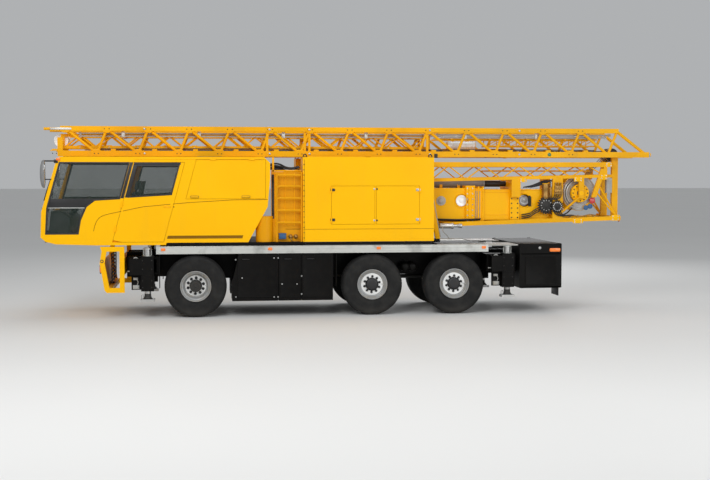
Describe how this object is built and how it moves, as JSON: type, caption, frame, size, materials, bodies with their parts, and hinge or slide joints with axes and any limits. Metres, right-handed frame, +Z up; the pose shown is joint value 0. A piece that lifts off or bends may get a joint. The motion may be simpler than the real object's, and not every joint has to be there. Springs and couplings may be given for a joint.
{
  "type": "folding mobile tower crane on three axles",
  "caption": "Road-going mobile tower crane folded for travel: steered wheels, outriggers, slewing cab and housing, telescopic mast and lattice jib.",
  "frame": {"origin": "on the ground under the middle of the vehicle", "axes": "+X to the rear, where the mast's head is; +Y to the right side; +Z up"},
  "size_m": [13.264, 2.84, 4],
  "materials": {
    "yellow_paint": "gloss yellow paint",
    "black_paint": "satin black paint",
    "rail_aluminium": "brushed",
    "jack_steel": "bright steel rods",
    "glass": "green tinted",
    "tyre": "black rubber",
    "rim_paint": "pale paint",
    "cab_trim": "dark grain",
    "mirror_plastic": "grey",
    "cast": "dark cast"
  },
  "bodies": {
    "carrier": {"chassis": "black_paint", "deck_rails": "rail_aluminium", "bumper": "yellow_paint", "lockers": "black_paint", "axles": "cast"},
    "slewing_body": {"platform": "black_paint", "cab_shell": "yellow_paint", "cab_glass": "glass", "cab_interior": "cab_trim", "mirrors": "mirror_plastic", "hood": "yellow_paint", "engine_block": "cast", "ladder_bay": "yellow_paint", "housing_left": "yellow_paint", "housing_right": "yellow_paint"},
    "cab_door_body": {"cab_door": "yellow_paint", "cab_door_glass": "glass"},
    "hatch_left_body": {"hatch_left": "yellow_paint"},
    "hatch_right_body": {"hatch_right": "yellow_paint"},
    "housing_door_front_body": {"housing_door_front": "yellow_paint"},
    "housing_door_rear_body": {"housing_door_rear": "yellow_paint"},
    "mast_foot": {"mast_outer": "yellow_paint"},
    "mast_head": {"mast_inner": "yellow_paint", "tail_frame": "yellow_paint"},
    "winch_drum": {"winch": "yellow_paint"},
    "jib": {"jib_left": "yellow_paint", "jib_right": "yellow_paint", "jib_ties": "yellow_paint"},
    "jib_tip_body": {"jib_tip": "yellow_paint"},
    "trolley_body": {"trolley": "yellow_paint"},
    "beam_front_left": {"outrigger_beam_front_left": "black_paint"},
    "jack_front_left_body": {"jack_front_left": "jack_steel"},
    "beam_front_right": {"outrigger_beam_front_right": "black_paint"},
    "jack_front_right_body": {"jack_front_right": "jack_steel"},
    "beam_rear_left": {"outrigger_beam_rear_left": "black_paint"},
    "jack_rear_left_body": {"jack_rear_left": "jack_steel"},
    "beam_rear_right": {"outrigger_beam_rear_right": "black_paint"},
    "jack_rear_right_body": {"jack_rear_right": "jack_steel"},
    "steering_1_left": {"knuckle_1_left": "cast"},
    "wheel_1_left": {"rim_1_left": "rim_paint", "tyre_1_left": "tyre"},
    "steering_1_right": {"knuckle_1_right": "cast"},
    "wheel_1_right": {"rim_1_right": "rim_paint", "tyre_1_right": "tyre"},
    "steering_2_left": {"knuckle_2_left": "cast"},
    "wheel_2_left": {"rim_2_left": "rim_paint", "tyre_2_left": "tyre"},
    "steering_2_right": {"knuckle_2_right": "cast"},
    "wheel_2_right": {"rim_2_right": "rim_paint", "tyre_2_right": "tyre"},
    "steering_3_left": {"knuckle_3_left": "cast"},
    "wheel_3_left": {"rim_3_left": "rim_paint", "tyre_3_left": "tyre"},
    "steering_3_right": {"knuckle_3_right": "cast"},
    "wheel_3_right": {"rim_3_right": "rim_paint", "tyre_3_right": "tyre"}
  },
  "joints": [
    {"name": "slewing", "type": "hinge", "parent": "carrier", "child": "slewing_body", "pos_m": [-0.77, 0, 1.5047], "axis": [0, 0, 1], "continuous": true},
    {"name": "cab_door_swing", "type": "hinge", "parent": "slewing_body", "child": "cab_door_body", "pos_m": [-4.97315, -1.2543, 2.4], "axis": [-0.2607, 0, -0.9654], "range_deg": [0, 70]},
    {"name": "hatch_left_lift", "type": "hinge", "parent": "slewing_body", "child": "hatch_left_body", "pos_m": [-2.72, -1.2543, 3.29], "axis": [-1, 0, 0], "range_deg": [0, 80]},
    {"name": "hatch_right_lift", "type": "hinge", "parent": "slewing_body", "child": "hatch_right_body", "pos_m": [-2.72, 1.2543, 3.29], "axis": [1, 0, 0], "range_deg": [0, 80]},
    {"name": "housing_door_front_swing", "type": "hinge", "parent": "slewing_body", "child": "housing_door_front_body", "pos_m": [-0.647, -1.2543, 2.33], "axis": [0, 0, -1], "range_deg": [0, 110]},
    {"name": "housing_door_rear_swing", "type": "hinge", "parent": "slewing_body", "child": "housing_door_rear_body", "pos_m": [1.242, -1.2543, 2.33], "axis": [0, 0, 1], "range_deg": [0, 110]},
    {"name": "mast_raise", "type": "hinge", "parent": "slewing_body", "child": "mast_foot", "pos_m": [-0.47, 0, 2.32], "axis": [0, -1, 0], "range_deg": [0, 90]},
    {"name": "mast_extend", "type": "slide", "parent": "mast_foot", "child": "mast_head", "axis": [1, 0, 0], "range_m": [0, 2.4]},
    {"name": "winch_turn", "type": "hinge", "parent": "mast_head", "child": "winch_drum", "pos_m": [5.04, 0, 2.57], "axis": [0, 1, 0], "continuous": true},
    {"name": "jib_level", "type": "hinge", "parent": "mast_head", "child": "jib", "pos_m": [5.852, 0, 3.425], "axis": [0, 1, 0], "range_deg": [0, 90]},
    {"name": "jib_tip_fold", "type": "hinge", "parent": "jib", "child": "jib_tip_body", "pos_m": [-6.3, 0, 3.7], "axis": [0, -1, 0], "range_deg": [0, 180]},
    {"name": "trolley_travel", "type": "slide", "parent": "jib", "child": "trolley_body", "axis": [-1, 0, 0], "range_m": [0, 8.4]},
    {"name": "beam_front_left_extend", "type": "slide", "parent": "carrier", "child": "beam_front_left", "axis": [0, -1, 0], "range_m": [0, 1.5]},
    {"name": "jack_front_left_lower", "type": "slide", "parent": "beam_front_left", "child": "jack_front_left_body", "axis": [0, 0, -1], "range_m": [0, 0.5]},
    {"name": "beam_front_right_extend", "type": "slide", "parent": "carrier", "child": "beam_front_right", "axis": [0, 1, 0], "range_m": [0, 1.5]},
    {"name": "jack_front_right_lower", "type": "slide", "parent": "beam_front_right", "child": "jack_front_right_body", "axis": [0, 0, -1], "range_m": [0, 0.5]},
    {"name": "beam_rear_left_extend", "type": "slide", "parent": "carrier", "child": "beam_rear_left", "axis": [0, -1, 0], "range_m": [0, 1.5]},
    {"name": "jack_rear_left_lower", "type": "slide", "parent": "beam_rear_left", "child": "jack_rear_left_body", "axis": [0, 0, -1], "range_m": [0, 0.5]},
    {"name": "beam_rear_right_extend", "type": "slide", "parent": "carrier", "child": "beam_rear_right", "axis": [0, 1, 0], "range_m": [0, 1.5]},
    {"name": "jack_rear_right_lower", "type": "slide", "parent": "beam_rear_right", "child": "jack_rear_right_body", "axis": [0, 0, -1], "range_m": [0, 0.5]},
    {"name": "steer_1_left", "type": "hinge", "parent": "carrier", "child": "steering_1_left", "pos_m": [-3.492, -0.96, 0.65], "axis": [0, 0, 1], "range_deg": [-35, 35]},
    {"name": "roll_1_left", "type": "hinge", "parent": "steering_1_left", "child": "wheel_1_left", "pos_m": [-3.492, -1.0475, 0.65], "axis": [0, 1, 0], "continuous": true},
    {"name": "steer_1_right", "type": "hinge", "parent": "carrier", "child": "steering_1_right", "pos_m": [-3.492, 0.96, 0.65], "axis": [0, 0, 1], "range_deg": [-35, 35]},
    {"name": "roll_1_right", "type": "hinge", "parent": "steering_1_right", "child": "wheel_1_right", "pos_m": [-3.492, 1.0475, 0.65], "axis": [0, 1, 0], "continuous": true},
    {"name": "steer_2_left", "type": "hinge", "parent": "carrier", "child": "steering_2_left", "pos_m": [0.228, -0.96, 0.65], "axis": [0, 0, 1], "range_deg": [-17, 17]},
    {"name": "roll_2_left", "type": "hinge", "parent": "steering_2_left", "child": "wheel_2_left", "pos_m": [0.228, -1.0475, 0.65], "axis": [0, 1, 0], "continuous": true},
    {"name": "steer_2_right", "type": "hinge", "parent": "carrier", "child": "steering_2_right", "pos_m": [0.228, 0.96, 0.65], "axis": [0, 0, 1], "range_deg": [-17, 17]},
    {"name": "roll_2_right", "type": "hinge", "parent": "steering_2_right", "child": "wheel_2_right", "pos_m": [0.228, 1.0475, 0.65], "axis": [0, 1, 0], "continuous": true},
    {"name": "steer_3_left", "type": "hinge", "parent": "carrier", "child": "steering_3_left", "pos_m": [2.003, -0.96, 0.65], "axis": [0, 0, 1], "range_deg": [-27, 27]},
    {"name": "roll_3_left", "type": "hinge", "parent": "steering_3_left", "child": "wheel_3_left", "pos_m": [2.003, -1.0475, 0.65], "axis": [0, 1, 0], "continuous": true},
    {"name": "steer_3_right", "type": "hinge", "parent": "carrier", "child": "steering_3_right", "pos_m": [2.003, 0.96, 0.65], "axis": [0, 0, 1], "range_deg": [-27, 27]},
    {"name": "roll_3_right", "type": "hinge", "parent": "steering_3_right", "child": "wheel_3_right", "pos_m": [2.003, 1.0475, 0.65], "axis": [0, 1, 0], "continuous": true}
  ],
  "couplings": [
    {"joint": "jib_level", "follows": "mast_raise", "ratio": 1},
    {"joint": "steer_1_right", "follows": "steer_1_left", "ratio": 1},
    {"joint": "steer_2_left", "follows": "steer_1_left", "ratio": -0.45},
    {"joint": "steer_2_right", "follows": "steer_1_left", "ratio": -0.45},
    {"joint": "steer_3_left", "follows": "steer_1_left", "ratio": -0.75},
    {"joint": "steer_3_right", "follows": "steer_1_left", "ratio": -0.75}
  ]
}
